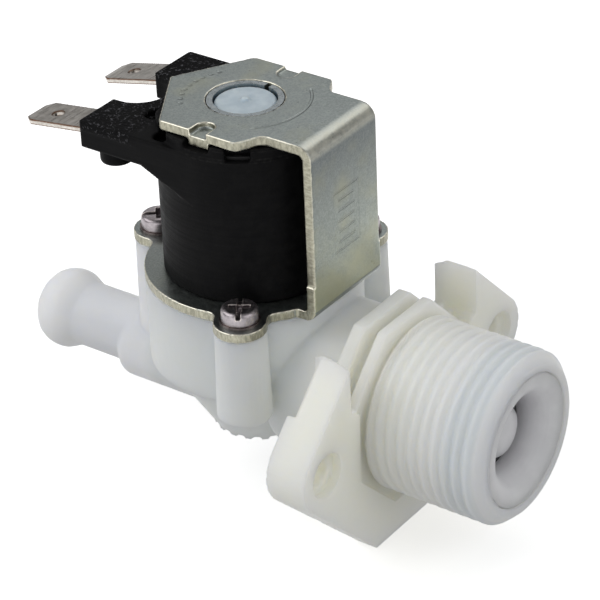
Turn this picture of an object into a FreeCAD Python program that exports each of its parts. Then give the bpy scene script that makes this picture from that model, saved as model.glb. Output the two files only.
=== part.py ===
import FreeCAD, Part
import math
import os

# Solenoid inlet valve. Units are millimetres.
# +Z runs up the plunger axis, +X towards the threaded inlet, -X towards the hose tail.
# Origin: plunger axis at the top face of the bracket's base plate.

V = FreeCAD.Vector
UP = V(0, 0, 1)
INLET = V(1, 0, 0)
GAP = 0.05                      # assembly clearance between seated pieces

# --- steel bracket -------------------------------------------------------
SHEET = 1.5                     # sheet thickness
BRACKET_TOP = 26.6              # top face of the top plate
STRIP_OUT = 17.15               # outer face of the upright strip
STRIP_HALF = 8.1                # half-width of the upright strip
BEND_OUT = 2.3                  # outer radius of the upper bend
LOW_BEND_OUT = 1.9              # outer radius of the lower bend
BASE_R = 16.3                   # round base plate
EAR_PITCH_R = 17.75             # screw circle radius
EAR_R = 3.95                    # radius of each screw ear
EAR_ANGLES = (-60, 60, 180)
TOP_NEAR = -12.0                # near edge of the top plate
TOP_FAR = 11.3                  # far edge of the top plate
TOP_TIP = -13.4                 # pointed end of the top plate
SLEEVE_HOLE_R = 5.75            # hole for the flux sleeves
DENT_X = 0.5                    # locking dents in the top plate
DENT_W = 3.0
DENT_IN = 3.2
DENTS = ((-1, TOP_NEAR, 0.9), (1, TOP_FAR, 0.45))   # side, edge and depth

# --- coil ----------------------------------------------------------------
COIL_R = 13.3
COIL_BOTTOM = 0.1
COIL_TOP = 24.9
HOUSE_TOP = 23.3                # terminal housing
HOUSE_BOTTOM = 19.0
HOUSE_END = -20.5
HOUSE_HALF = 13.3
GAP_HALF = 4.85                 # round-ended gap between the two terminal blocks
GAP_CENTRE = (-19.4, -0.2)
BOBBIN_BORE = 5.75
BOBBIN_TUBE = 6.7
BOBBIN_FLANGE = 11.9
WIND_R = 10.8
WIND_Z = (2.25, 22.35)
LEAD_R = 0.28

# --- tabs ----------------------------------------------------------------
TAB_W = 6.3
TAB_T = 0.8
TAB_Z = 21.1                    # mid-plane of the tab
TAB_Y = 8.9
TAB_TIP = -32.4
TAB_ROOT = -13.6
TAB_HOLE_R = 0.9
TAB_HOLE_IN = 4.3               # hole centre to the tip
DROOP = {-1: 8.0, 1: 13.0}      # degrees that the left and right tab are bent down

# --- armature ------------------------------------------------------------
TUBE_R = 4.6                    # guide tube outside
TUBE_BORE = 4.0
TUBE_TOP = 26.2
PLUNGER_R = 3.95
PLUNGER_BOTTOM = -4.0
PLUNGER_TOP = 20.0
PLUNGER_LIFT = 2.5
SPRING_R = 2.1
SPRING_WIRE = 0.25
SPRING_Z = (12.1, 25.1)
SPRING_TURNS = 9

# --- plastic body --------------------------------------------------------
BODY_TOP = -SHEET - GAP
WALL_R = 16.25
WALL_BOTTOM = -15.3
CONE_R = 14.5                   # cone under the chamber
HUB_BOTTOM = -27.25
HUB_R = 7.25
BOSS_TOP_R = 3.8
BOSS_R = 4.12
BOSS_BOTTOM = -15.9
BOSS_DEEP = -20.0               # the boss over the hose tail runs down into it
COVER_R = 14.1                  # guide tube's cover disc
COVER_BOTTOM = -3.6
CHAMBER_R = 12.6
CHAMBER_BOTTOM = -13.8
BEAD_BOTTOM = -5.2
SEAT_Z = -7.6
SEAT_OUT = 5.4
SEAT_IN = 4.0

# --- inlet ---------------------------------------------------------------
INLET_Z = -15.5                 # axis of the inlet thread
NECK_R = 12.1
THREAD_R = 13.22                # G 3/4, 26.44 mm across the crests
THREAD_PITCH = 1.814
THREAD_DEPTH = 1.0
THREAD_START = 28.6
THREAD_END = 47.6
END_FACE_R = 11.6
INLET_BORE = 9.2
INSERT_BORE = 10.25
INSERT_SEAT_X = 34.0
HUB_STEM_R = 2.9
INSERT_BACK = 34.6
MOUTH_X = 47.5
MOUTH_R = 5.75
LIP_R = 9.3                        # where the rounded lip meets the end face
LIP_DEPTH = 4.3
BUTTON_X = 43.0
BUTTON_R = 3.95
WASHER_X = (39.4, 42.2)          # flow washer between the spokes and the hub's button
OCT_R = 14.2                    # inner radius of the octagonal collars
COLLAR_1 = (21.9, 24.1)
COLLAR_2 = (26.1, 27.7)

# --- mounting flange -----------------------------------------------------
FLANGE_X = (24.7, 28.6)
WING_BACK_X = 22.0
WING_HOLE_Y = 22.5              # half the 45 mm screw pitch
WING_UPPER_X = 23.6             # back of the wing's slanted side above the lobe
LOBE_R = 5.7
WING_TOP = -1.0
WING_INNER = 15.1
WING_FIN = 0.5                     # thin inner edge that the bevel leaves at the top
WING_INNER_FRONT = 16.3         # the inner side leans out towards the front face
FLANGE_BOTTOM = -35.1
WING_HOLE_R = 2.15
WING_SINK_R = 3.4
WING_SINK_DEPTH = 4.2

# --- hose tail -----------------------------------------------------------
TAIL_Z = -20.5
TAIL_R = 5.1
TAIL_END = -40.95
BEAD_R = 6.35
TAIL_BORE = 3.5
STUB_R = 5.95
STUB_Z = -21.5
STUB_END = -24.0

# --- screws --------------------------------------------------------------
HEAD_R = 2.72
HEAD_H = 2.05
HEAD_TURN = {-60: 2, 60: 20, 180: 40}   # which way each driving slot ended up
WASHER_R = 2.98
WASHER_T = 0.35
SHANK_R = 1.75
SHANK_BOTTOM = -13.0


def cyl(radius, start, length, axis=UP):
    return Part.makeCylinder(radius, length, start, axis)


def tube(outer, inner, start, length, axis=UP):
    return cyl(outer, start, length, axis).cut(cyl(inner, start, length, axis))


def box(x0, x1, y0, y1, z0, z1):
    return Part.makeBox(x1 - x0, y1 - y0, z1 - z0, V(x0, y0, z0))


def fuse_all(shapes):
    first = shapes[0]
    rest = shapes[1:]
    return first.multiFuse(rest).removeSplitter() if rest else first


def rounded_wire(corners):
    """Closed outline from (point, corner radius) pairs; radius 0 keeps the corner sharp."""
    count = len(corners)
    starts = []
    ends = []
    arcs = []
    for i in range(count):
        p, r = corners[i]
        a = (corners[i - 1][0] - p).normalize()
        b = (corners[(i + 1) % count][0] - p).normalize()
        if r <= 0:
            starts.append(p)
            ends.append(p)
            arcs.append(None)
            continue
        half = a.getAngle(b) / 2
        reach = r / math.tan(half)
        mid_dir = (a + b).normalize()
        centre = p + mid_dir * (r / math.sin(half))
        starts.append(p + a * reach)
        ends.append(p + b * reach)
        arcs.append(centre - mid_dir * r)
    edges = []
    for i in range(count):
        if arcs[i] is not None:
            edges.append(Part.Arc(starts[i], arcs[i], ends[i]).toShape())
        nxt = starts[(i + 1) % count]
        if (nxt - ends[i]).Length > 1e-6:
            edges.append(Part.makeLine(ends[i], nxt))
    return Part.Wire(edges)


def plan_prism(points, z0, z1):
    """Prism from (x, y, corner radius) points, standing between two heights."""
    wire = rounded_wire([(V(x, y, z0), r) for x, y, r in points])
    return Part.Face(wire).extrude(V(0, 0, z1 - z0))


def side_prism(points, y0, y1):
    """Prism from (x, z, corner radius) points, running across the valve."""
    wire = rounded_wire([(V(x, y0, z), r) for x, z, r in points])
    return Part.Face(wire).extrude(V(0, y1 - y0, 0))


def front_prism(points, x0, x1):
    """Prism from (y, z, corner radius) points, running along the inlet axis."""
    wire = rounded_wire([(V(x0, y, z), r) for y, z, r in points])
    return Part.Face(wire).extrude(V(x1 - x0, 0, 0))


def revolve_z(points):
    """Turned solid about the plunger axis from (radius, z) points."""
    wire = Part.makePolygon([V(r, 0, z) for r, z in points + points[:1]])
    return Part.Face(wire).revolve(V(0, 0, 0), UP, 360)


def revolve_x(points, axis_z):
    """Turned solid about a horizontal axis from (x, radius) points."""
    wire = Part.makePolygon([V(x, 0, axis_z + r) for x, r in points + points[:1]])
    return Part.Face(wire).revolve(V(0, 0, axis_z), INLET, 360)


def quarter_round(corner, reach, steps=8):
    """(x, radius) points of a quarter ellipse from (corner x + reach x, corner r) to (corner x, corner r + reach r)."""
    x, r = corner
    dx, dr = reach
    turns = [math.pi / 2 * i / steps for i in range(steps + 1)]
    return [(x + dx * math.cos(turn), r + dr * math.sin(turn)) for turn in turns]


def around(angle, radius, z=0.0):
    a = math.radians(angle)
    return V(radius * math.cos(a), radius * math.sin(a), z)


def mirror_y(shape):
    return shape.mirror(V(0, 0, 0), V(0, 1, 0))


def octagon(x0, x1, inradius):
    corner = inradius / math.cos(math.pi / 8)
    points = []
    for i in range(8):
        a = math.pi / 8 + i * math.pi / 4
        points.append((corner * math.cos(a), INLET_Z + corner * math.sin(a), 0.4))
    return front_prism(points, x0, x1)


# --- bracket -------------------------------------------------------------
def top_plate():
    slot_x = STRIP_OUT - BEND_OUT
    points = [
        (TOP_TIP, -0.3, 0.8), (-6.4, TOP_NEAR, 0.6), (7.1, TOP_NEAR, 1.2),
        (9.0, -STRIP_HALF, 1.6), (slot_x, -STRIP_HALF, 0),
        (slot_x, STRIP_HALF, 0), (9.2, STRIP_HALF, 1.6), (7.4, TOP_FAR, 1.0),
        (-6.6, TOP_FAR, 1.6),
    ]
    plate = plan_prism(points, BRACKET_TOP - SHEET, BRACKET_TOP)
    under = BRACKET_TOP - SHEET
    for side, edge, depth in DENTS:
        plate = plate.cut(dent_tool(side, edge, DENT_W / 2, BRACKET_TOP - depth, BRACKET_TOP + 1))
        lug = dent_tool(side, edge, DENT_W / 2 + 0.3, under - depth, under)
        limit = box(DENT_X - 3, DENT_X + 3, min(0, edge), max(0, edge), 0, BRACKET_TOP)
        plate = plate.fuse(lug.common(limit))
    return plate


def dent_tool(side, edge, half, z0, z1):
    """Round-ended slot pressed inwards from one long edge of the top plate."""
    inner = edge - side * DENT_IN
    centre_y = inner + side * half
    round_end = cyl(half, V(DENT_X, centre_y, z0), z1 - z0)
    outer = edge + side * 1.0
    y0, y1 = sorted((centre_y, outer))
    return round_end.fuse(box(DENT_X - half, DENT_X + half, y0, y1, z0, z1))


def strip():
    inner = STRIP_OUT - SHEET
    start = STRIP_OUT - BEND_OUT - 1.0
    points = [
        (start, -SHEET, 0), (STRIP_OUT, -SHEET, LOW_BEND_OUT), (STRIP_OUT, BRACKET_TOP, BEND_OUT),
        (start, BRACKET_TOP, 0), (start, BRACKET_TOP - SHEET, 0),
        (inner, BRACKET_TOP - SHEET, BEND_OUT - SHEET), (inner, 0, LOW_BEND_OUT - SHEET), (start, 0, 0),
    ]
    body = side_prism(points, -STRIP_HALF, STRIP_HALF)
    foot = side_prism(points, -STRIP_HALF - 0.3, STRIP_HALF + 0.3)
    foot = foot.common(box(start, STRIP_OUT + 1, -20, 20, -SHEET, 4.2))
    return body.fuse(foot)


def base_plate():
    plate = cyl(BASE_R, V(0, 0, -SHEET), SHEET)
    for angle in EAR_ANGLES:
        spot = around(angle, EAR_PITCH_R, -SHEET)
        plate = plate.fuse(cyl(EAR_R, spot, SHEET))
        plate = plate.fuse(ear_web(angle))
    reach = STRIP_OUT - BEND_OUT
    edge_half = STRIP_HALF + 0.3
    plate = plate.cut(box(reach, 30, -edge_half, edge_half, -SHEET - 1, 1))
    return plate.removeSplitter()


def ear_web(angle):
    """Filleted neck between a screw ear and the round plate."""
    fillet = 1.6
    d = EAR_PITCH_R
    big = BASE_R + fillet
    small = EAR_R + fillet
    along = (d * d + big * big - small * small) / (2 * d)
    across = math.sqrt(big * big - along * along)
    spot = V(0, 0, -SHEET)
    tri = Part.Face(Part.makePolygon([
        V(0, 0, -SHEET), V(along, across, -SHEET), V(d, 0, -SHEET), V(along, -across, -SHEET),
        V(0, 0, -SHEET)])).extrude(V(0, 0, SHEET))
    for sign in (1, -1):
        tri = tri.cut(cyl(fillet, V(along, sign * across, -SHEET), SHEET))
    tri.rotate(spot, UP, angle)
    return tri


def steel_bracket():
    body = fuse_all([top_plate(), strip(), base_plate()])
    body = body.cut(cyl(SLEEVE_HOLE_R, V(0, 0, -5), 40))
    for angle in EAR_ANGLES:
        body = body.cut(cyl(SHANK_R + 0.35, around(angle, EAR_PITCH_R, -5), 10))
    return body.removeSplitter()


# --- coil ----------------------------------------------------------------
def tab_outline(x0):
    half = TAB_W / 2
    lead = 1.3
    return [
        (x0, -half, 0), (TAB_TIP + lead, -half, 0.4), (TAB_TIP, -half + lead * 0.8, 0.3),
        (TAB_TIP, half - lead * 0.8, 0.3), (TAB_TIP + lead, half, 0.4), (x0, half, 0),
    ]


def terminal(side):
    """Push-on tab; side -1 is the left one, +1 the right one."""
    blade = plan_prism(tab_outline(HOUSE_END), TAB_Z - TAB_T / 2, TAB_Z + TAB_T / 2)
    blade = bevel_blade(blade)
    blade = blade.cut(cyl(TAB_HOLE_R, V(TAB_TIP + TAB_HOLE_IN, 0, 0), 40))
    blade.rotate(V(HOUSE_END, 0, TAB_Z), V(0, 1, 0), -DROOP[side])
    knee = cyl(TAB_T / 2, V(HOUSE_END, -TAB_W / 2, TAB_Z), TAB_W, V(0, 1, 0))
    blade = blade.fuse(knee)
    root = box(HOUSE_END, TAB_ROOT, -TAB_W / 2, TAB_W / 2, TAB_Z - TAB_T / 2, TAB_Z + TAB_T / 2)
    anchor = box(TAB_ROOT - 2.4, TAB_ROOT - 1.2, -TAB_W / 2 - 1, -TAB_W / 2 + 0.8, 0, 40)
    anchor = anchor.fuse(anchor.mirror(V(0, 0, 0), V(0, 1, 0)))
    piece = fuse_all([blade, root.cut(anchor)])
    piece.translate(V(0, side * TAB_Y, 0))
    return piece


def bevel_blade(blade):
    """Lead-in bevels on the tip of a tab."""
    t = TAB_T / 2
    for flip in (1, -1):
        wedge = side_prism([(TAB_TIP - 1, TAB_Z + flip * 0.15, 0), (TAB_TIP + 1.1, TAB_Z + flip * t, 0),
                            (TAB_TIP + 1.1, TAB_Z + flip * 2, 0), (TAB_TIP - 1, TAB_Z + flip * 2, 0)], -5, 5)
        blade = blade.cut(wedge)
    return blade


def lead(side, radius, spare=0.0):
    """Straight wire under one tab, towards the coil axis and up to the winding."""
    start = V(TAB_ROOT - 0.6, side * 8.0, TAB_Z - TAB_T / 2 - LEAD_R - 0.06)
    inward = V(-start.x, -start.y, 0).normalize()
    reach = math.hypot(start.x, start.y) - WIND_R - 0.05
    return cyl(radius, start - inward * spare, reach + 2 * spare, inward)


def coil_leads():
    return Part.makeCompound([lead(-1, LEAD_R), lead(1, LEAD_R)])


def coil_winding():
    return tube(WIND_R, BOBBIN_TUBE + GAP, V(0, 0, WIND_Z[0]), WIND_Z[1] - WIND_Z[0])


def winding_tape():
    wrap = tube(WIND_R + 0.25, WIND_R + 0.03, V(0, 0, WIND_Z[0]), WIND_Z[1] - WIND_Z[0])
    for side in (-1, 1):
        wrap = wrap.cut(lead(side, LEAD_R + 0.12, 1.0))
    return wrap


def coil_bobbin():
    body = tube(BOBBIN_TUBE, BOBBIN_BORE, V(0, 0, COIL_BOTTOM), COIL_TOP - COIL_BOTTOM)
    low = tube(BOBBIN_FLANGE, BOBBIN_BORE, V(0, 0, 1.2), 1.0)
    high = tube(BOBBIN_FLANGE, BOBBIN_BORE, V(0, 0, 22.4), 1.0)
    return fuse_all([body, low, high])


def housing():
    """Slab that carries both tabs, with the round gap between the blocks."""
    points = [
        (HOUSE_END, -HOUSE_HALF, 0.5), (0, -HOUSE_HALF, 0),
        (0, HOUSE_HALF, 0), (HOUSE_END, HOUSE_HALF, 0.5),
    ]
    slab = plan_prism(points, HOUSE_BOTTOM, HOUSE_TOP)
    gap_x, gap_y = GAP_CENTRE
    slab = slab.cut(cyl(GAP_HALF, V(gap_x, gap_y, 0), 40))
    slab = slab.cut(box(HOUSE_END - 1, gap_x, gap_y - GAP_HALF, gap_y + GAP_HALF, 0, 40))
    web = side_prism([(-9.3, HOUSE_BOTTOM + 1, 0), (-9.3, HOUSE_BOTTOM, 0), (-5.6, 17.3, 0), (0, 15, 0),
                      (0, HOUSE_BOTTOM + 1, 0)], -HOUSE_HALF, HOUSE_HALF)
    pegs = [cyl(2.5, V(-16.9, side * 9.4, HOUSE_BOTTOM - 2.9), 3.2) for side in (-1, 1)]
    pegs = [peg.makeFillet(0.5, [edge for edge in peg.Edges if edge.BoundBox.ZMax < HOUSE_BOTTOM - 2.8])
            for peg in pegs]
    return fuse_all([slab, web] + pegs)


def coil_overmould():
    shoulder = 23.0
    barrel = cyl(COIL_R, V(0, 0, COIL_BOTTOM), shoulder - COIL_BOTTOM)
    rim = cyl(COIL_R - 0.25, V(0, 0, shoulder), COIL_TOP - shoulder)
    rim = rim.makeChamfer(0.3, [edge for edge in rim.Edges if edge.BoundBox.ZMin > COIL_TOP - 0.1])
    body = fuse_all([barrel, rim, housing()])
    parting = tube(COIL_R + 3, COIL_R - 0.45, V(0, 0, shoulder), 0.35)
    body = body.cut(parting.common(box(0, 20, -20, 20, 0, 40)))
    body = body.cut(cyl(BOBBIN_TUBE + GAP, V(0, 0, -1), 40))
    body = body.cut(cyl(BOBBIN_FLANGE + GAP, V(0, 0, 1.15), 22.3))
    body = body.cut(rim_notch())
    for side, edge, depth in DENTS:
        body = body.cut(dent_tool(side, edge, DENT_W / 2 + 0.7, BRACKET_TOP - SHEET - depth - 0.3, 40))
    for x, y in ((-12.0, -5.8), (-6.7, -10.5), (-12.0, 5.8), (-6.7, 10.5)):
        body = body.cut(top_pocket(x, y))
    for side in (-1, 1):
        body = body.cut(tab_slot(side))
        body = body.cut(lead(side, LEAD_R + 0.08, 0.5))
    return body.removeSplitter()


def top_pocket(x, y):
    """Shallow round-cornered pocket in the housing's top."""
    half = 1.45
    corners = [(x - half, y - half), (x + half, y - half), (x + half, y + half), (x - half, y + half)]
    return plan_prism([(cx, cy, 0.9) for cx, cy in corners], 22.1, 30)


def rim_notch():
    """Square gap in the top rim, facing the front-left."""
    notch = box(COIL_R - 2.0, COIL_R + 1, -1.8, 1.8, 23.0, 30)
    notch.rotate(V(0, 0, 0), UP, -59)
    return notch


def tab_slot(side):
    half = TAB_W / 2 + GAP
    low = TAB_Z - TAB_T / 2 - GAP
    high = low + TAB_T + 2 * GAP
    slot = box(HOUSE_END - 1, TAB_ROOT + GAP, side * TAB_Y - half, side * TAB_Y + half, low, high)
    mouth = side_prism([(HOUSE_END - 0.5, low - 0.8, 0), (HOUSE_END + 0.6, low, 0),
                        (HOUSE_END + 0.6, low + 0.5, 0), (HOUSE_END - 0.5, low + 0.5, 0)],
                       side * TAB_Y - half, side * TAB_Y + half)
    return slot.fuse(mouth)


# --- sleeves and armature ------------------------------------------------
def split_sleeve(z0, z1, angle):
    ring = tube(5.65, 4.75, V(0, 0, z0), z1 - z0)
    slit = box(0, 10, -0.4, 0.4, z0 - 1, z1 + 1)
    slit.rotate(V(0, 0, 0), UP, angle)
    return ring.cut(slit)


def guide_tube():
    """Plastic cover disc and closed tube in one moulding."""
    disc = cyl(COVER_R, V(0, 0, COVER_BOTTOM), BODY_TOP - COVER_BOTTOM)
    barrel = cyl(TUBE_R, V(0, 0, COVER_BOTTOM), TUBE_TOP - COVER_BOTTOM)
    barrel = barrel.makeChamfer(0.3, [edge for edge in barrel.Edges if edge.BoundBox.ZMin > TUBE_TOP - 0.1])
    nub = Part.makeCone(0.9, 0.45, 0.5, V(0, 0, TUBE_TOP - 0.1))
    body = fuse_all([disc, barrel, nub])
    body = body.cut(cyl(TUBE_BORE, V(0, 0, -10), TUBE_TOP - 1.0 + 10))
    body = body.cut(cyl(9.5, V(0, 0, COVER_BOTTOM - 1), 1.5))
    return body


def plunger():
    core = cyl(PLUNGER_R, V(0, 0, PLUNGER_BOTTOM), PLUNGER_TOP - PLUNGER_BOTTOM)
    core = core.makeChamfer(0.35, [edge for edge in core.Edges if edge.Length > 20])
    core = core.cut(cyl(2.7, V(0, 0, SPRING_Z[0] - 0.1), 20))
    core = core.cut(cyl(2.05, V(0, 0, PLUNGER_BOTTOM - 1), 2.3))
    for angle in (0, 90, 180, 270):
        groove = box(PLUNGER_R - 0.45, PLUNGER_R + 1, -0.5, 0.5, -1.0, PLUNGER_TOP + 1)
        groove.rotate(V(0, 0, 0), UP, angle)
        core = core.cut(groove)
    return core


def plunger_seal():
    return revolve_z([(0, -4.35), (1.7, -4.35), (2.0, -4.1), (2.0, -2.75), (0, -2.75)])


def plunger_spring():
    height = SPRING_Z[1] - SPRING_Z[0] - 2 * SPRING_WIRE
    helix = Part.makeHelix(height / SPRING_TURNS, height, SPRING_R)
    helix.translate(V(0, 0, SPRING_Z[0] + SPRING_WIRE))
    start_z = SPRING_Z[0] + SPRING_WIRE
    corners = []
    for i in range(9):
        a = math.radians(45 * i)
        corners.append(V(SPRING_R + SPRING_WIRE * math.cos(a), 0, start_z + SPRING_WIRE * math.sin(a)))
    return Part.Wire(helix.Edges).makePipeShell([Part.makePolygon(corners)], True, True)


# --- diaphragm -----------------------------------------------------------
def diaphragm():
    """Rubber membrane with a clamped bead, a thin fold and a thick seat pad."""
    top = COVER_BOTTOM - GAP
    profile = [
        (13.2, top), (13.2, BEAD_BOTTOM + GAP), (11.7, BEAD_BOTTOM + GAP), (10.9, -5.9), (9.0, -6.4),
        (7.0, -7.5), (2.35, -7.5), (2.35, -6.1), (7.2, -6.1), (9.2, -5.6), (11.2, -5.1), (12.0, top),
    ]
    return revolve_z(profile)


def diaphragm_insert():
    """Plastic piston pressed through the membrane, with the pilot nozzle and guide fins."""
    disc = revolve_z([(0, -6.0), (6.4, -6.0), (6.4, -5.4), (5.6, -5.0), (2.0, -5.0), (1.5, -4.4), (0, -4.4)])
    stem = cyl(2.3, V(0, 0, -9.0), 3.2)
    flare = revolve_z([(0, -9.6), (3.0, -9.6), (3.6, -8.6), (3.6, -7.7), (3.2, -7.55), (0, -7.55)])
    fins = []
    for angle in (0, 90):
        fin = box(-3.75, 3.75, -0.5, 0.5, -14.0, -9.0)
        fin.rotate(V(0, 0, 0), UP, angle + 45)
        fins.append(fin)
    body = fuse_all([disc, stem, flare] + fins)
    body = body.cut(cyl(0.6, V(0, 0, -20), 20))
    return body


# --- screws --------------------------------------------------------------
def screw(angle):
    spot = around(angle, EAR_PITCH_R)
    seat = WASHER_T + 0.02
    head = cyl(HEAD_R, V(0, 0, seat), HEAD_H)
    head = head.makeFillet(0.7, [edge for edge in head.Edges if edge.BoundBox.ZMin > seat + HEAD_H - 0.1])
    shank = cyl(SHANK_R, V(0, 0, SHANK_BOTTOM), seat - SHANK_BOTTOM + 0.5)
    shank = shank.makeChamfer(0.8, [edge for edge in shank.Edges if edge.BoundBox.ZMax < SHANK_BOTTOM + 0.1])
    body = head.fuse(shank)
    top = seat + HEAD_H
    slot = box(-4, 4, -0.35, 0.35, top - 0.8, top + 1)
    cross = box(-1.6, 1.6, -0.4, 0.4, top - 1.4, top + 1)
    cross = cross.fuse(box(-0.4, 0.4, -1.6, 1.6, top - 1.4, top + 1))
    body = body.cut(slot.fuse(cross)).removeSplitter()
    body.rotate(V(0, 0, 0), UP, angle + HEAD_TURN[angle])
    body.translate(spot)
    return body


def screw_washer(angle):
    return tube(WASHER_R, SHANK_R + 0.1, around(angle, EAR_PITCH_R, 0.01), WASHER_T)


# --- valve body ----------------------------------------------------------
def chamber_solid():
    shell = revolve_z([(0, BODY_TOP), (WALL_R, BODY_TOP), (WALL_R, WALL_BOTTOM), (CONE_R, WALL_BOTTOM),
                       (HUB_R, HUB_BOTTOM), (0, HUB_BOTTOM)])
    ribs = []
    count = 18
    for i in range(count):
        rib = box(4.0, HUB_R + 0.15, -0.55, 0.55, HUB_BOTTOM - 0.3, HUB_BOTTOM + 0.8)
        rib.rotate(V(0, 0, 0), UP, 360 * (i + 0.5) / count)
        ribs.append(rib)
    return shell.multiFuse(ribs)


def boss(angle):
    bottom = BOSS_DEEP if angle == 180 else BOSS_BOTTOM
    post = Part.makeCone(BOSS_R, BOSS_TOP_R, BODY_TOP - bottom, around(angle, EAR_PITCH_R, bottom))
    low = [edge for edge in post.Edges if edge.BoundBox.ZMax < bottom + 0.1]
    return post.makeFillet(0.35, low)


def flange_plate():
    """Plate behind the thread: 45-degree sides run into a round lobe at each screw hole."""
    k = LOBE_R * math.sqrt(0.5)
    lobe_y = WING_HOLE_Y + k
    low_corner = lobe_y - (INLET_Z - k - FLANGE_BOTTOM)
    high_corner = lobe_y - (WING_TOP - INLET_Z - k)
    shelf = INLET_Z + OCT_R * math.tan(math.pi / 8)
    half = [
        (low_corner, FLANGE_BOTTOM, 0.3), (lobe_y, INLET_Z - k, 0), (lobe_y, INLET_Z + k, 0),
        (high_corner, WING_TOP, 0.3), (WING_INNER, WING_TOP, 0.3), (WING_INNER - 0.3, shelf, 0),
    ]
    other = [(-y, z, r) for y, z, r in reversed(half)]
    plate = front_prism(half + other, FLANGE_X[0], FLANGE_X[1])
    for side in (-1, 1):
        plate = plate.fuse(cyl(LOBE_R, V(FLANGE_X[0], side * WING_HOLE_Y, INLET_Z), FLANGE_X[1] - FLANGE_X[0],
                               INLET))
    return plate.cut(octagon(COLLAR_2[1], FLANGE_X[1] + 1, OCT_R))


def wing_back():
    """Thick part of one wing: slanted back above the lobe, tapered back below it."""
    k = LOBE_R * math.sqrt(0.5)
    lobe_y = WING_HOLE_Y + k
    inner = 13.4
    foot_y = lobe_y - (INLET_Z - k - FLANGE_BOTTOM)
    high_y = lobe_y - (WING_TOP - INLET_Z - k)
    points = [
        (inner, -8.0, 0), (WING_INNER, -8.0, 0), (WING_INNER, WING_TOP, 0.3), (high_y, WING_TOP, 0.3),
        (lobe_y, INLET_Z + k, 0), (lobe_y, INLET_Z - k, 0), (foot_y + 3, FLANGE_BOTTOM + 3, 0),
        (inner, FLANGE_BOTTOM + 3, 0),
    ]
    front = FLANGE_X[0] + 0.5
    wing = front_prism(points, WING_BACK_X, front)
    wing = wing.fuse(cyl(LOBE_R, V(WING_BACK_X, WING_HOLE_Y, INLET_Z), front - WING_BACK_X, INLET))
    taper = side_prism([(20, INLET_Z - k, 0), (WING_BACK_X, INLET_Z - k, 0), (FLANGE_X[0], FLANGE_BOTTOM, 0),
                        (20, FLANGE_BOTTOM, 0)], 0, 30)
    wing = wing.cut(taper)
    outside_fin = box(0, 40, WING_INNER + WING_FIN, 60, -40, 10)
    wing = wing.cut(side_shave(high_y).common(outside_fin))
    shoulder = side_prism([(21, WING_TOP - 1.1, 0), (WING_UPPER_X, WING_TOP, 0), (WING_UPPER_X, 1, 0),
                           (21, 1, 0)], 10, 22)
    wing = wing.cut(shoulder)
    pocket = box(WING_BACK_X - 1, FLANGE_X[0] - 0.2, 16.2, 19.4, -28.0, -20.5)
    return wing.cut(pocket)


def side_shave(high_y):
    """Bevel along the back of the 45-degree side, from the top down to the lobe."""
    down = V(0, 1, -1).normalize()
    inward = V(0, -1, -1).normalize()
    start = V(0, high_y, WING_TOP) - down * 3
    depth = 2.4
    corners = []
    for x, d in ((WING_UPPER_X, 0), (WING_UPPER_X, -2), (21, -2), (21, depth + 0.2), (WING_BACK_X, depth)):
        corners.append((start + V(x, 0, 0) + inward * d, 0))
    length = (WING_HOLE_Y - high_y) * math.sqrt(2) + 3
    return Part.Face(rounded_wire(corners)).extrude(down * length)


def flange():
    wings = [wing_back()]
    wings.append(mirror_y(wings[0]))
    body = flange_plate().multiFuse(wings)
    lean = plan_prism([(WING_UPPER_X, WING_INNER, 0), (FLANGE_X[1] + 0.1, WING_INNER_FRONT, 0),
                       (FLANGE_X[1] + 0.1, 13, 0), (WING_UPPER_X, 13, 0)], -8.6, 0)
    body = body.cut(lean.fuse(mirror_y(lean)))
    for side in (-1, 1):
        spot = V(0, side * WING_HOLE_Y, INLET_Z)
        body = body.cut(cyl(WING_HOLE_R, spot, 60, INLET))
        sink = V(FLANGE_X[1] - WING_SINK_DEPTH, side * WING_HOLE_Y, INLET_Z)
        body = body.cut(cyl(WING_SINK_R, sink, 10, INLET))
    return body


def spigot():
    """Inlet spigot and its neck, before the thread is cut."""
    chamfer = THREAD_R - END_FACE_R
    return revolve_x([(10, 0), (10, NECK_R), (THREAD_START, NECK_R), (THREAD_START, THREAD_R),
                      (THREAD_END - chamfer, THREAD_R), (THREAD_END, END_FACE_R), (THREAD_END, 0)], INLET_Z)


def thread_groove():
    """Helical V groove; it starts in the gap behind the thread and runs out past the end face."""
    length = THREAD_END - THREAD_START + 1.5
    helix = Part.makeHelix(THREAD_PITCH, length, THREAD_R)
    half_mouth = 0.68
    half_root = 0.14
    lift = 0.05
    profile = Part.makePolygon([
        V(THREAD_R + lift, 0, -half_mouth), V(THREAD_R - THREAD_DEPTH, 0, -half_root),
        V(THREAD_R - THREAD_DEPTH, 0, half_root), V(THREAD_R + lift, 0, half_mouth),
        V(THREAD_R + lift + 0.6, 0, half_mouth), V(THREAD_R + lift + 0.6, 0, -half_mouth),
        V(THREAD_R + lift, 0, -half_mouth)])
    groove = Part.Wire(helix.Edges).makePipeShell([profile], True, True)
    groove.rotate(V(0, 0, 0), V(0, 1, 0), 90)
    groove.translate(V(THREAD_START - 0.15, 0, INLET_Z))
    return groove


def hose_tail():
    profile = [
        (-8, 0), (-8, TAIL_R), (-33.2, TAIL_R), (-35.7, BEAD_R - 0.12), (-36.3, BEAD_R), (-37.2, BEAD_R),
        (-38.3, BEAD_R - 0.22), (-39.3, BEAD_R - 0.7), (-40.1, BEAD_R - 1.45), (-40.6, BEAD_R - 2.1),
        (TAIL_END, BEAD_R - 2.75), (TAIL_END, 0),
    ]
    tail = revolve_x(profile, TAIL_Z)
    stub = cyl(STUB_R, V(STUB_END, 0, STUB_Z), -STUB_END - 8, INLET)
    stub = stub.makeFillet(1.8, [edge for edge in stub.Edges if edge.BoundBox.XMax < STUB_END + 0.1])
    return tail.fuse(stub)


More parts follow.
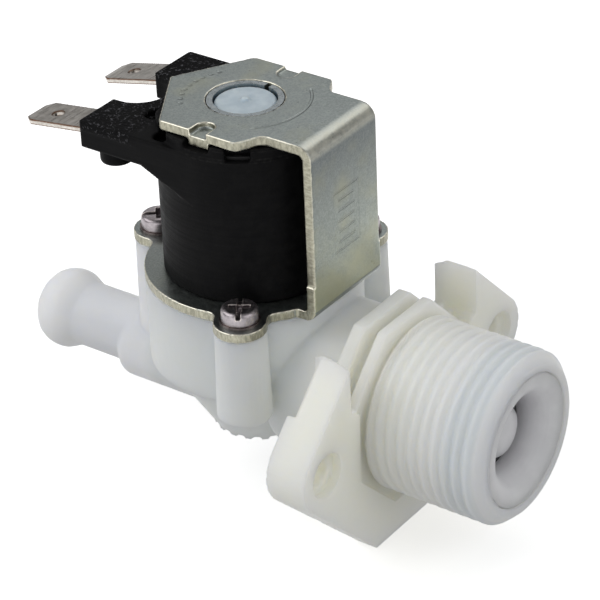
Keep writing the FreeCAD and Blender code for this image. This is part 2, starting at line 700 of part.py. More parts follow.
def cover_recess():
    recess = cyl(COVER_R + 0.1, V(0, 0, COVER_BOTTOM - GAP), 10)
    bead = cyl(13.3, V(0, 0, BEAD_BOTTOM), 10)
    return recess.fuse(bead)


def flow_passages():
    annulus = tube(CHAMBER_R - 0.8, SEAT_OUT, V(0, 0, CHAMBER_BOTTOM), BEAD_BOTTOM - CHAMBER_BOTTOM)
    above_seat = cyl(CHAMBER_R - 0.8, V(0, 0, SEAT_Z), 10)
    riser = cyl(SEAT_IN, V(0, 0, TAIL_Z), 30)
    outlet = cyl(TAIL_BORE, V(TAIL_END - 1, 0, TAIL_Z), -TAIL_END + 1, INLET)
    inlet = cyl(INLET_BORE, V(14.0, 0, INLET_Z), 60, INLET)
    window = cyl(INLET_BORE, V(8.0, 0, INLET_Z), 8, INLET).common(box(8, 20, -20, 20, CHAMBER_BOTTOM, 0))
    seat_bore = cyl(INSERT_BORE, V(INSERT_SEAT_X, 0, INLET_Z), 30, INLET)
    return annulus.multiFuse([above_seat, riser, outlet, inlet, window, seat_bore, cover_recess()])


def valve_body():
    solids = [chamber_solid(), spigot(), octagon(COLLAR_1[0], COLLAR_1[1], OCT_R),
              octagon(COLLAR_2[0], COLLAR_2[1], OCT_R), flange(), hose_tail()]
    solids += [boss(angle) for angle in EAR_ANGLES]
    body = solids[0].multiFuse(solids[1:])
    body = body.cut(flow_passages())
    for angle in EAR_ANGLES:
        body = body.cut(cyl(SHANK_R + 0.04, around(angle, EAR_PITCH_R, SHANK_BOTTOM - 0.6), 30))
    body = body.removeSplitter().cut(thread_groove())
    collar = tube(THREAD_R, NECK_R - 0.5, V(THREAD_START, 0, INLET_Z), 0.55, INLET)
    return body.fuse(collar)


# --- pieces inside the inlet --------------------------------------------
def inlet_insert():
    """Flow regulator body: rounded mouth, centre button on a stem, three spokes behind."""
    mouth = quarter_round((MOUTH_X - LIP_DEPTH, LIP_R), (LIP_DEPTH, MOUTH_R - LIP_R))
    ring = revolve_x([(INSERT_BACK, MOUTH_R), (INSERT_BACK, 10.15), (41.4, 10.15), (41.4, 9.0), (42.8, 9.0),
                      (42.8, 10.15), (MOUTH_X, 10.15)] + mouth, INLET_Z)
    dome = quarter_round((BUTTON_X, 0.0), (1.55, BUTTON_R))
    hub = revolve_x([(INSERT_BACK, 0), (INSERT_BACK, 2.4), (WASHER_X[0] - 0.2, HUB_STEM_R),
                     (WASHER_X[1] + 0.1, HUB_STEM_R)] + dome[::-1], INLET_Z)
    spokes = []
    for i in range(3):
        spoke = box(INSERT_BACK, WASHER_X[0] - 0.2, -0.8, 0.8, 2.0, 6.2)
        spoke.rotate(V(0, 0, 0), INLET, 120 * i + 180)
        spoke.translate(V(0, 0, INLET_Z))
        spokes.append(spoke)
    return fuse_all([ring, hub] + spokes)


def flow_washer():
    """Rubber ring round the hub's stem that narrows as the supply pressure rises."""
    x0, x1 = WASHER_X
    return revolve_x([(x0, HUB_STEM_R + 0.25), (x0, 5.65), (x1, 5.65), (x1, HUB_STEM_R + 0.25)], INLET_Z)


def insert_o_ring():
    ring = Part.makeTorus(9.62, 0.6, V(42.1, 0, INLET_Z), INLET)
    return ring


def strainer_frame():
    rim = tube(9.1, 7.6, V(31.6, 0, INLET_Z), 2.3, INLET)
    cap = tube(7.0, 6.05, V(18.0, 0, INLET_Z), 1.2, INLET)
    ribs = []
    for i in range(6):
        rib = side_prism([(18.0, 6.1, 0), (18.0, 6.95, 0), (32.0, 8.6, 0), (32.0, 7.7, 0)], -0.5, 0.5)
        rib.rotate(V(0, 0, 0), INLET, 60 * i)
        rib.translate(V(0, 0, INLET_Z))
        ribs.append(rib)
    return fuse_all([rim, cap] + ribs)


def strainer_mesh():
    """Fine conical screen with rows of open windows and a closed front."""
    skin = revolve_x([(19.3, 5.75), (19.3, 5.95), (31.5, 7.35), (31.5, 7.15)], INLET_Z)
    front = revolve_x([(18.1, 0), (18.1, 5.3), (18.4, 5.3), (18.4, 0)], INLET_Z)
    band = revolve_x([(18.1, 5.0), (18.1, 5.3), (19.3, 5.95), (19.6, 5.95), (19.6, 5.6)], INLET_Z)
    screen = fuse_all([skin, front, band])
    holes = []
    for i in range(12):
        for x in (20.6, 24.2, 27.8):
            hole = box(x, x + 2.4, -0.8, 0.8, 4.0, 9.0)
            hole.rotate(V(0, 0, 0), INLET, 30 * i)
            hole.translate(V(0, 0, INLET_Z))
            holes.append(hole)
    for i in range(6):
        hole = cyl(0.9, V(15, 0, 3.0), 4, INLET)
        hole.rotate(V(0, 0, 0), INLET, 60 * i)
        hole.translate(V(0, 0, INLET_Z))
        holes.append(hole)
    return screen.cut(Part.makeCompound(holes))


def build():
    parts = {
        "valve_body": valve_body(),
        "steel_bracket": steel_bracket(),
        "coil_overmould": coil_overmould(),
        "coil_bobbin": coil_bobbin(),
        "coil_winding": coil_winding(),
        "winding_tape": winding_tape(),
        "coil_leads": coil_leads(),
        "terminal_left": terminal(-1),
        "terminal_right": terminal(1),
        "flux_sleeve_upper": split_sleeve(16.5, BRACKET_TOP - 0.1, 86),
        "flux_sleeve_lower": split_sleeve(-SHEET + GAP, 7.5, -94),
        "guide_tube": guide_tube(),
        "plunger": plunger(),
        "plunger_seal": plunger_seal(),
        "plunger_spring": plunger_spring(),
        "diaphragm": diaphragm(),
        "diaphragm_insert": diaphragm_insert(),
        "cover_screws": Part.makeCompound([screw(angle) for angle in EAR_ANGLES]),
        "screw_washers": Part.makeCompound([screw_washer(angle) for angle in EAR_ANGLES]),
        "inlet_insert": inlet_insert(),
        "insert_o_ring": insert_o_ring(),
        "flow_washer": flow_washer(),
        "strainer_frame": strainer_frame(),
        "strainer_mesh": strainer_mesh(),
    }
    return parts


def main():
    os.makedirs("parts", exist_ok=True)
    for name, shape in build().items():
        shape.exportStep("parts/" + name + ".step")
        print(name, len(shape.Solids), round(shape.Volume, 1), shape.isValid())


main()
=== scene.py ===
import math

import bmesh
import bpy
from mathutils import Matrix, Vector, kdtree


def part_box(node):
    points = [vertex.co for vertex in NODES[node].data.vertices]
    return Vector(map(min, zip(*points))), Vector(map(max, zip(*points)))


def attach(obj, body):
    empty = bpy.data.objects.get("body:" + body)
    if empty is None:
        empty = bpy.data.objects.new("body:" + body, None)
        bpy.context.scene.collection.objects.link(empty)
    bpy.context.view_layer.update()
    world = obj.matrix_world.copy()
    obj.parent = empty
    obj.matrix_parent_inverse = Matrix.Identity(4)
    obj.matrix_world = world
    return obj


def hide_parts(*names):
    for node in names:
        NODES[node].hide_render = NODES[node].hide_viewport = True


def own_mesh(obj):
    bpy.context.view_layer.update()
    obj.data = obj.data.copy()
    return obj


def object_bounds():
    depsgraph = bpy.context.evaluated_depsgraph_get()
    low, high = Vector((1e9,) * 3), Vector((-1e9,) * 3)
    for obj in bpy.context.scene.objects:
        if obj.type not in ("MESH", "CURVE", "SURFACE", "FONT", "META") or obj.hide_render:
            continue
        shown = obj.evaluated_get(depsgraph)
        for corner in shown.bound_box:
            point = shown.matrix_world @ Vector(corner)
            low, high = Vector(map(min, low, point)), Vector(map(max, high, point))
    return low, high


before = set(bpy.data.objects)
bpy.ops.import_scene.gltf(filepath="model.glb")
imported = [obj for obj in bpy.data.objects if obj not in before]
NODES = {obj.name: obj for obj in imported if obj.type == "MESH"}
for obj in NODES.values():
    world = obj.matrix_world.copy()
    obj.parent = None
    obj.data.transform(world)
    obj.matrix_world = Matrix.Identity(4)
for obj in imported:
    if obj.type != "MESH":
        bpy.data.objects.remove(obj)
cad_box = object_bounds()
MM = 0.001

# ---------------------------------------------------------------- colours
BODY_COOL = (0.900, 0.915, 0.895)
BODY_WARM = (0.925, 0.925, 0.880)
# Creamier over the flange and thread: partly the thick plastic's own tone, partly painted warm shade.
BODY_FLANGE_CREAM_AND_SHADE = (0.940, 0.925, 0.825)
# Painted light: the outlet tail, drawn near white.
BODY_TAIL_PAINTED_LIGHT = (0.99, 0.99, 0.975)
# Painted shade: the chamber under the bracket, drawn darker and bluish.
BODY_CORE_PAINTED_SHADE = (0.76, 0.785, 0.772)
# Painted shade: the thread's end by the mouth, drawn darker and bluish.
BODY_END_PAINTED_SHADE = (0.70, 0.742, 0.755)
COIL_DARK = (0.0034, 0.0034, 0.0038)
COIL_LIGHT = (0.0072, 0.0071, 0.0074)
# Painted glints on the high points of the housing's coarse grain.
COIL_PEAK_GLINT = (0.085, 0.085, 0.092)
COIL_WORN = (0.020, 0.0195, 0.019)
ZINC_DARK = (0.225, 0.250, 0.243)
ZINC_LIGHT = (0.35, 0.380, 0.366)
ZINC_OLIVE = (0.37, 0.375, 0.29)
# Pale cream corners: partly worn plating, partly painted highlight along the edges.
ZINC_EDGE_WEAR_AND_HIGHLIGHT = (0.92, 0.88, 0.74)
# Painted highlight on the bend from the top plate down to the strip.
ZINC_BEND_HIGHLIGHT = (0.66, 0.64, 0.54)
# Painted shade at the strip's top and painted light towards its foot.
STRIP_TOP_PAINTED_SHADE = (0.44, 0.445, 0.455)
STRIP_FOOT_PAINTED_LIGHT = (1.30, 1.29, 1.20)
CUT_DARK = (0.245, 0.238, 0.188)
CUT_LIGHT = (0.43, 0.415, 0.325)
TAB_GREY = (0.42, 0.39, 0.35)
TAB_PALE = (0.68, 0.645, 0.60)
TAB_EDGE = (0.13, 0.065, 0.035)
SCREW_DARK = (0.30, 0.27, 0.285)
SCREW_LIGHT = (0.46, 0.42, 0.435)
SCREW_EDGE = (0.66, 0.60, 0.56)

# ---------------------------------------------------------------- places, in mm
# Stretches along X over which one tone of the body gives way to the next: the flange tone is partly painted
# warm shade, the tail tone painted light, the core and end tones painted shade.
FLANGE_STARTS, FLANGE_FADES = (8.0, 23.0), (34.0, 45.0)
TAIL_FADES = (-21.0, -16.5)
CORE_STARTS, CORE_FADES = (-18.5, -15.5), (14.0, 19.0)
END_STARTS, END_FADES = (38.5, 43.0), (45.6, 47.0)

# The terminal housing's coarse top: above this stretch of Z and behind this stretch of X.
HOUSING_TOP = (21.6, 22.4)
HOUSING_FRONT = (-13.0, -9.5)

# The inlet: its axis, the threaded stretch and the chamfer at its mouth.
INLET_Z = -15.5
THREAD_FROM, THREAD_SHOULDER, THREAD_END, MOUTH_FACE = 28.7, 45.98, 47.4, 47.6
CREST_R, MOUTH_R, GROOVE_DEEPEST = 13.22, 11.6, 1.12
THREAD_SHOW = 0.40           # share of a groove's depth that is kept

# The screw recess in each wing.
WING_FRONT, SINK_FLOOR, WING_BACK = 28.6, 24.4, 22.0
SINK_Y, SINK_R = 22.5, 3.5
SINK_SHOW = 0.35             # share of a recess's depth that is kept

# The bracket: its sheet, and how far in from its outer faces the strip and the bend reach; STRIP_FADE is the
# height over which the strip's painted shade turns to painted light, BEND_DROP how far down the bend's
# painted highlight goes.
SHEET = 1.5
STRIP_DEPTH, STRIP_FOOT, STRIP_HALF, STRIP_FADE = 3.4, 0.2, 11, 24
BEND_DROP = 3.2

# Press marks: a frame with level bars on the strip, an arc and dots on the top plate.
STRIP_FACE = (15.6, 16.0)
FRAME_LEFT, FRAME_RIGHT, FRAME_LOW, FRAME_HIGH = -3.0, 3.1, 7.4, 17.0
FRAME_HALF = 0.20
BAR_COUNT, BAR_LOW, BAR_STEP = 5, 8.8, 1.7
BAR_LEFT, BAR_RIGHT, BAR_HALF = -1.9, 2.0, 0.22
TOP_FACE = (26.3, 26.5)
ARC_R, ARC_HALF, ARC_FROM = 9.6, 0.28, (6.2, 6.8)
DOT_COUNT, DOT_R, DOT_HALF = 9, 9.3, 0.42
DOT_FIRST_TURN, DOT_TURN = 150, 9

CORNER_ANGLE = math.radians(35)     # edges blunter than this are no outer corners: no wear, and on the bracket no painted highlight
CORNER_STEP = 0.12                  # spacing of the points along an outer corner


# ---------------------------------------------------------------- meshes
def welded_copy(node):
    """A copy of one CAD mesh with the split vertices joined again."""
    mesh = NODES[node].data.copy()
    bm = bmesh.new()
    bm.from_mesh(mesh)
    bmesh.ops.remove_doubles(bm, verts=bm.verts, dist=2e-6)
    bm.to_mesh(mesh)
    bm.free()
    return mesh


def evaluated(obj):
    """The object's mesh with its modifiers worked in."""
    graph = bpy.context.evaluated_depsgraph_get()
    return bpy.data.meshes.new_from_object(obj.evaluated_get(graph))


def softened(node, name, body, voxel, passes, ratio=1.0):
    """The CAD shape remade with small rounded edges and fillets, as moulding and stamping leave them."""
    piece = bpy.data.objects.new(name, welded_copy(node))
    bpy.context.scene.collection.objects.link(piece)
    remesh = piece.modifiers.new("remesh", "REMESH")
    remesh.mode = "VOXEL"
    remesh.voxel_size = voxel * MM
    smooth = piece.modifiers.new("smooth", "SMOOTH")
    smooth.factor = 0.5
    smooth.iterations = passes
    if ratio < 1.0:
        thin = piece.modifiers.new("thin", "DECIMATE")
        thin.ratio = ratio
    mesh = evaluated(piece)
    piece.modifiers.clear()
    piece.data = mesh
    mesh.materials.clear()
    for poly in mesh.polygons:
        poly.use_smooth = True
    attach(piece, body)
    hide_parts(node)
    return piece


def sharp_edge_tree(node):
    """Points along the outer corners of a CAD mesh."""
    bm = bmesh.new()
    bm.from_mesh(welded_copy(node))
    points = []
    for edge in bm.edges:
        if len(edge.link_faces) != 2 or edge.calc_face_angle_signed() < CORNER_ANGLE:
            continue
        a, b = edge.verts[0].co, edge.verts[1].co
        count = max(1, round((b - a).length / (CORNER_STEP * MM)))
        points += [a.lerp(b, i / count) for i in range(count + 1)]
    bm.free()
    tree = kdtree.KDTree(len(points))
    for i, point in enumerate(points):
        tree.insert(point, i)
    tree.balance()
    return tree


def clamped(value):
    return min(1.0, max(0.0, value))


def paint(piece, name, values):
    """Keeps one number for each point of a piece, for its material to read."""
    layer = piece.data.attributes.new(name, "FLOAT", "POINT")
    layer.data.foreach_set("value", values)


def paint_corner_near(piece, node, reach):
    """Marks how near each point is to an outer corner: 1 on it, 0 at reach and beyond."""
    tree = sharp_edge_tree(node)
    values = [max(0.0, 1.0 - tree.find(v.co)[2] / (reach * MM)) for v in piece.data.vertices]
    paint(piece, "corner_near", values)


# ---------------------------------------------------------------- material helpers
class Maker:
    """Builds one material's nodes; every method gives back an output socket."""

    def __init__(self, name):
        self.material = bpy.data.materials.new(name)
        self.material.use_nodes = True
        self.tree = self.material.node_tree
        self.shader = self.tree.nodes["Principled BSDF"]
        self.place = self.tree.nodes.new("ShaderNodeTexCoord").outputs["Object"]

    def node(self, kind, **settings):
        made = self.tree.nodes.new(kind)
        for key, value in settings.items():
            setattr(made, key, value)
        return made

    def link(self, source, target):
        self.tree.links.new(source, target)

    def scaled(self, x, y=None, z=None):
        """Object coordinates in millimetres, times these factors."""
        mapping = self.node("ShaderNodeMapping")
        y = x if y is None else y
        z = x if z is None else z
        mapping.inputs["Scale"].default_value = (x / MM, y / MM, z / MM)
        self.link(self.place, mapping.inputs["Vector"])
        return mapping.outputs["Vector"]

    def noise(self, vector, detail=3.0, roughness=0.5, distortion=0.0):
        made = self.node("ShaderNodeTexNoise")
        made.inputs["Scale"].default_value = 1.0
        made.inputs["Detail"].default_value = detail
        made.inputs["Roughness"].default_value = roughness
        made.inputs["Distortion"].default_value = distortion
        self.link(vector, made.inputs["Vector"])
        return made.outputs["Fac"]

    def span(self, value, low, high, out_low=0.0, out_high=1.0):
        """A soft step from out_low to out_high as the value goes from low to high."""
        made = self.node("ShaderNodeMapRange", interpolation_type="SMOOTHSTEP")
        self.link(value, made.inputs["Value"])
        made.inputs["From Min"].default_value = low
        made.inputs["From Max"].default_value = high
        made.inputs["To Min"].default_value = out_low
        made.inputs["To Max"].default_value = out_high
        return made.outputs["Result"]

    def band(self, letter, rise, fall, after=0.0):
        """1 between two stretches of one axis, 0 before the first and this much after the second."""
        up = self.span(self.axis(letter), *rise)
        down = self.span(self.axis(letter), *fall, 1.0, after)
        return self.math("MULTIPLY", up, down)

    def math(self, operation, a, b=0.0):
        """a and b are sockets or numbers; b is idle where the operation takes one value."""
        made = self.node("ShaderNodeMath", operation=operation)
        for socket, value in zip(made.inputs, (a, b)):
            if isinstance(value, (int, float)):
                socket.default_value = value
            else:
                self.link(value, socket)
        return made.outputs[0]

    def mix(self, factor, a, b):
        made = self.node("ShaderNodeMix", data_type="RGBA")
        self.link(factor, made.inputs["Factor"])
        for socket, value in ((made.inputs[6], a), (made.inputs[7], b)):
            if isinstance(value, tuple):
                socket.default_value = (*value, 1.0)
            else:
                self.link(value, socket)
        return made.outputs[2]

    def multiplied(self, a, b):
        made = self.node("ShaderNodeMix", data_type="RGBA", blend_type="MULTIPLY")
        made.inputs["Factor"].default_value = 1.0
        self.link(a, made.inputs[6])
        self.link(b, made.inputs[7])
        return made.outputs[2]

    def axis(self, letter):
        """One coordinate in millimetres."""
        split = self.node("ShaderNodeSeparateXYZ")
        self.link(self.scaled(1.0), split.inputs["Vector"])
        return split.outputs[letter]

    def attribute(self, name):
        return self.node("ShaderNodeAttribute", attribute_name=name).outputs["Fac"]

    def colour(self, value):
        if isinstance(value, tuple):
            self.shader.inputs["Base Color"].default_value = (*value, 1.0)
        else:
            self.link(value, self.shader.inputs["Base Color"])

    def rough(self, value):
        self.link(value, self.shader.inputs["Roughness"])

    def set(self, **values):
        for key, value in values.items():
            self.shader.inputs[key.replace("_", " ")].default_value = value

    def bump(self, heights):
        """heights is a list of (height socket, depth in mm)."""
        normal = None
        for height, depth in heights:
            made = self.node("ShaderNodeBump")
            made.inputs["Strength"].default_value = 1.0
            made.inputs["Distance"].default_value = depth * MM
            self.link(height, made.inputs["Height"])
            if normal is not None:
                self.link(normal, made.inputs["Normal"])
            normal = made.outputs["Normal"]
        self.link(normal, self.shader.inputs["Normal"])


def translucent(make, radius, weight=1.0):
    make.set(Subsurface_Weight=weight, Subsurface_Scale=1.0 * MM, IOR=1.5)
    make.shader.inputs["Subsurface Radius"].default_value = radius


# ---------------------------------------------------------------- plastics
def body_plastic():
    """Milky natural polyamide, cloudy inside, with painted light and shade along X: a lit tail, a darker
    bluish core and mouth end, and a creamy flange that is partly its own tone and partly painted warm shade.
    """
    make = Maker("body_plastic")
    cloud = make.noise(make.scaled(0.12), 4.0, 0.55)
    milk_and_painted_light = make.mix(make.span(cloud, 0.35, 0.68), BODY_COOL, BODY_WARM)
    # From here on, painted light and shade along X: the flange creamier (partly its own tone, partly painted
    # warm shade), the tail painted lighter, the chamber core and the mouth end painted darker and bluish.
    milk_and_painted_light = make.mix(make.band("X", FLANGE_STARTS, FLANGE_FADES, 0.25), milk_and_painted_light, BODY_FLANGE_CREAM_AND_SHADE)
    milk_and_painted_light = make.mix(make.span(make.axis("X"), *TAIL_FADES, 1.0, 0.0), milk_and_painted_light, BODY_TAIL_PAINTED_LIGHT)
    milk_and_painted_light = make.mix(make.band("X", CORE_STARTS, CORE_FADES), milk_and_painted_light, BODY_CORE_PAINTED_SHADE)
    milk_and_painted_light = make.mix(make.band("X", END_STARTS, END_FADES), milk_and_painted_light, BODY_END_PAINTED_SHADE)
    make.colour(milk_and_painted_light)
    skin = make.noise(make.scaled(0.9), 4.0, 0.6)
    make.rough(make.span(skin, 0.3, 0.7, 0.40, 0.54))
    grain = make.noise(make.scaled(5.0), 3.0, 0.6)
    flow = make.noise(make.scaled(0.35, 0.35, 0.6), 2.0, 0.5)
    make.bump([(flow, 0.12), (grain, 0.010)])
    translucent(make, (7.0, 6.5, 5.4))
    make.set(Specular_IOR_Level=0.3)
    return make.material


def insert_plastic():
    """White acetal with a slightly violet cast."""
    make = Maker("insert_plastic")
    cloud = make.noise(make.scaled(0.25), 3.0, 0.5)
    make.colour(make.mix(make.span(cloud, 0.3, 0.7), (0.78, 0.765, 0.80), (0.84, 0.825, 0.86)))
    skin = make.noise(make.scaled(1.4), 3.0, 0.6)
    make.rough(make.span(skin, 0.3, 0.7, 0.30, 0.44))
    make.bump([(make.noise(make.scaled(4.0), 3.0, 0.6), 0.008)])
    translucent(make, (8.0, 7.6, 7.8))
    make.set(Specular_IOR_Level=0.35)
    return make.material


def tube_plastic():
    """Pale blue-white plastic of the plunger tube."""
    make = Maker("tube_plastic")
    cloud = make.noise(make.scaled(0.5), 3.0, 0.5)
    make.colour(make.mix(make.span(cloud, 0.3, 0.7), (0.42, 0.50, 0.555), (0.52, 0.595, 0.64)))
    make.rough(make.span(make.noise(make.scaled(2.0), 3.0, 0.6), 0.3, 0.7, 0.28, 0.42))
    make.bump([(make.noise(make.scaled(4.0), 3.0, 0.6), 0.01)])
    translucent(make, (1.4, 1.6, 1.8), 0.8)
    make.set(Specular_IOR_Level=0.35)
    return make.material


def coil_plastic():
    """Black glass-filled plastic: drag lines round the barrel, a coarse spark-eroded grain on the housing
    with painted glints on its high points.
    """
    make = Maker("coil_plastic")
    lines = make.noise(make.scaled(0.06, 0.06, 3.2), 5.0, 0.65)
    blotch = make.noise(make.scaled(0.5), 4.0, 0.6)
    grain = make.noise(make.scaled(4.2), 4.0, 0.65)
    coarse = make.noise(make.scaled(1.9), 2.0, 0.6, 0.8)
    raised = make.span(make.axis("Z"), *HOUSING_TOP)
    behind = make.span(make.axis("X"), *HOUSING_FRONT, 1.0, 0.0)
    high = make.math("MULTIPLY", raised, behind)
    tone = make.mix(make.span(blotch, 0.35, 0.7), COIL_DARK, COIL_LIGHT)
    # Painted glints: pale specks on the grain's high points on the housing top.
    painted_glints = make.math("MULTIPLY", make.span(coarse, 0.57, 0.66), high)
    tone = make.mix(painted_glints, tone, COIL_PEAK_GLINT)
    edge_rub_and_bend_highlight = make.math("MULTIPLY", make.attribute("corner_near"), make.noise(make.scaled(1.6), 3.0, 0.6))
    make.colour(make.mix(make.span(edge_rub_and_bend_highlight, 0.25, 0.7), tone, COIL_WORN))
    shine = make.math("ADD", make.span(lines, 0.3, 0.7, 0.0, 0.14), make.span(blotch, 0.3, 0.7, 0.46, 0.56))
    make.rough(make.math("ADD", shine, make.math("MULTIPLY", high, 0.12)))
    make.bump([(lines, 0.012), (grain, 0.016), (make.math("MULTIPLY", coarse, high), 0.30)])
    make.set(Specular_IOR_Level=0.06)
    return make.material


def simple_plastic(name, low, high, rough_low, rough_high, scale=0.8, grain=0.01):
    """Cloudy plastic or rubber between two tones."""
    make = Maker(name)
    cloud = make.noise(make.scaled(scale), 3.0, 0.55)
    make.colour(make.mix(make.span(cloud, 0.3, 0.7), low, high))
    make.rough(make.span(make.noise(make.scaled(scale * 3), 3.0, 0.6), 0.3, 0.7, rough_low, rough_high))
    make.bump([(make.noise(make.scaled(5.0), 3.0, 0.6), grain)])
    return make.material


# ---------------------------------------------------------------- metals
def soft_line(make, distance, half_width):
    """1 near distance 0, fading to 0 at half_width on both sides."""
    return make.span(make.math("ABSOLUTE", distance), half_width * 0.4, half_width, 1.0, 0.0)


def stroke(make, across, along, start, end, half_width):
    """A straight stamped line in one plane, as a soft-edged mask; points are (across, along) in mm."""
    length = math.dist(start, end)
    dx, dy = (end[0] - start[0]) / length, (end[1] - start[1]) / length
    rx = make.math("SUBTRACT", across, start[0])
    ry = make.math("SUBTRACT", along, start[1])
    run = make.math("ADD", make.math("MULTIPLY", rx, dx), make.math("MULTIPLY", ry, dy))
    side = make.math("SUBTRACT", make.math("MULTIPLY", rx, dy), make.math("MULTIPLY", ry, dx))
    over = make.math("ABSOLUTE", make.math("SUBTRACT", run, length / 2))
    within = make.span(over, length / 2 - 0.1, length / 2 + 0.15, 1.0, 0.0)
    return make.math("MULTIPLY", soft_line(make, side, half_width), within)


def ring(make, across, along, centre, radius, half_width):
    """A stamped circle in one plane, or a dot where the radius is 0."""
    rx = make.math("SUBTRACT", across, centre[0])
    ry = make.math("SUBTRACT", along, centre[1])
    squares = make.math("ADD", make.math("MULTIPLY", rx, rx), make.math("MULTIPLY", ry, ry))
    return soft_line(make, make.math("SUBTRACT", make.math("SQRT", squares), radius), half_width)


def joined(make, masks):
    """The highest of several masks."""
    whole = masks[0]
    for mask in masks[1:]:
        whole = make.math("MAXIMUM", whole, mask)
    return whole


def strip_marks(make, y, z):
    """A plain frame with level bars in it."""
    low_left, high_left = (FRAME_LEFT, FRAME_LOW), (FRAME_LEFT, FRAME_HIGH)
    low_right, high_right = (FRAME_RIGHT, FRAME_LOW), (FRAME_RIGHT, FRAME_HIGH)
    sides = ((low_left, high_left), (low_right, high_right), (low_left, low_right), (high_left, high_right))
    masks = [stroke(make, y, z, start, end, FRAME_HALF) for start, end in sides]
    for i in range(BAR_COUNT):
        level = BAR_LOW + BAR_STEP * i
        masks.append(stroke(make, y, z, (BAR_LEFT, level), (BAR_RIGHT, level), BAR_HALF))
    return joined(make, masks)


def top_marks(make, x, y):
    """An arc on the strip's side of the top plate and a row of dots on the other side."""
    arc = ring(make, x, y, (0.0, 0.0), ARC_R, ARC_HALF)
    masks = [make.math("MULTIPLY", arc, make.span(x, *ARC_FROM))]
    for i in range(DOT_COUNT):
        turn = math.radians(DOT_FIRST_TURN + DOT_TURN * i)
        masks.append(ring(make, x, y, (DOT_R * math.cos(turn), DOT_R * math.sin(turn)), 0.0, DOT_HALF))
    return joined(make, masks)


def stamped_marks(make):
    """The plain press marks on the bracket, as one mask."""
    x, y, z = make.axis("X"), make.axis("Y"), make.axis("Z")
    strip = make.math("MULTIPLY", strip_marks(make, y, z), make.span(x, *STRIP_FACE))
    top = make.math("MULTIPLY", top_marks(make, x, y), make.span(z, *TOP_FACE))
    return make.math("ADD", strip, top)


def plated_steel():
    """Zinc plate with a pale yellow passivate; sheared sides are scored across the sheet. The outer corners
    turn pale cream, partly abrasion and partly painted highlight; the bend carries a painted highlight; the
    strip carries painted shade at its top and painted light towards its foot.
    """
    make = Maker("plated_steel")
    large = make.noise(make.scaled(0.16), 3.0, 0.5)
    speck = make.noise(make.scaled(3.4), 4.0, 0.7)
    fleck = make.noise(make.scaled(1.1), 4.0, 0.6)
    grey = make.mix(make.span(speck, 0.3, 0.72), ZINC_DARK, ZINC_LIGHT)
    low, in_strip, corner_near, cut = (make.attribute(name) for name in ("low", "strip", "corner_near", "cut"))
    # The olive tint is partly random, as the passivate varies, and partly painted light towards the strip's
    # foot.
    tint = make.span(make.math("ADD", large, make.math("MULTIPLY", low, 0.25)), 0.50, 0.85)
    plate = make.mix(make.math("MULTIPLY", tint, 0.8), grey, ZINC_OLIVE)
    strip_painted_light = make.mix(low, STRIP_TOP_PAINTED_SHADE, STRIP_FOOT_PAINTED_LIGHT)
    plate = make.mix(in_strip, plate, make.multiplied(plate, strip_painted_light))
    # Painted highlight: the bend turns pale gold, flecked.
    edge_rub_and_bend_highlight = make.math("MULTIPLY", make.attribute("bend"), make.span(fleck, 0.25, 0.7, 0.40, 0.75))
    plate = make.mix(edge_rub_and_bend_highlight, plate, ZINC_BEND_HIGHLIGHT)
    # Painted highlight together with wear: the plate's outer corners turn pale cream.
    worn_and_highlit = make.span(make.math("ADD", corner_near, make.math("MULTIPLY", fleck, 0.5)), 0.78, 1.18)
    plate = make.mix(worn_and_highlit, plate, ZINC_EDGE_WEAR_AND_HIGHLIGHT)
    upright = make.noise(make.scaled(2.6, 2.6, 0.9), 4.0, 0.65)
    across = make.noise(make.scaled(0.9, 2.6, 2.6), 4.0, 0.65)
    striae = make.math("ADD", make.math("MULTIPLY", across, in_strip),
                       make.math("MULTIPLY", upright, make.math("SUBTRACT", 1.0, in_strip)))
    sheared = make.mix(make.span(striae, 0.34, 0.68), CUT_DARK, CUT_LIGHT)
    # Painted highlight: the rolled-over top rim of the sheared sides turns pale cream.
    sheared = make.mix(make.span(corner_near, 0.72, 0.95), sheared, ZINC_EDGE_WEAR_AND_HIGHLIGHT)
    make.colour(make.mix(cut, plate, sheared))
    broad, fine = make.span(fleck, 0.3, 0.7, 0.30, 0.42), make.span(speck, 0.3, 0.7, -0.04, 0.06)
    make.rough(make.math("ADD", broad, fine))
    scores = make.math("MULTIPLY", striae, cut)
    make.bump([(speck, 0.012), (fleck, 0.02), (scores, 0.03), (stamped_marks(make), -0.09)])
    make.set(Metallic=1.0)
    return make.material


def worn_metal(name, low, high, edge, rough_low, rough_high, along):
    """Plated or bare metal with faint drawing lines and a different tone on its abraded edges."""
    make = Maker(name)
    lines = make.noise(make.scaled(*along), 4.0, 0.65)
    cloud = make.noise(make.scaled(0.7), 3.0, 0.6)
    blend = make.math("MULTIPLY", make.math("ADD", lines, cloud), 0.5)
    tone = make.mix(make.span(blend, 0.36, 0.64), low, high)
    corner_near = make.span(make.math("ADD", make.attribute("corner_near"), make.math("MULTIPLY", cloud, 0.5)), 0.7, 1.15)
    make.colour(make.mix(corner_near, tone, edge))
    make.rough(make.span(lines, 0.3, 0.7, rough_low, rough_high))
    make.bump([(lines, 0.012), (make.noise(make.scaled(4.0), 3.0, 0.6), 0.008)])
    make.set(Metallic=1.0)
    return make.material


def plain_metal(name, low, high, rough_low, rough_high):
    """Metal with faint lines along Z."""
    make = Maker(name)
    lines = make.noise(make.scaled(1.5, 1.5, 0.3), 4.0, 0.6)
    make.colour(make.mix(make.span(lines, 0.3, 0.7), low, high))
    make.rough(make.span(make.noise(make.scaled(1.2), 3.0, 0.6), 0.3, 0.7, rough_low, rough_high))
    make.bump([(lines, 0.015)])
    make.set(Metallic=1.0)
    return make.material


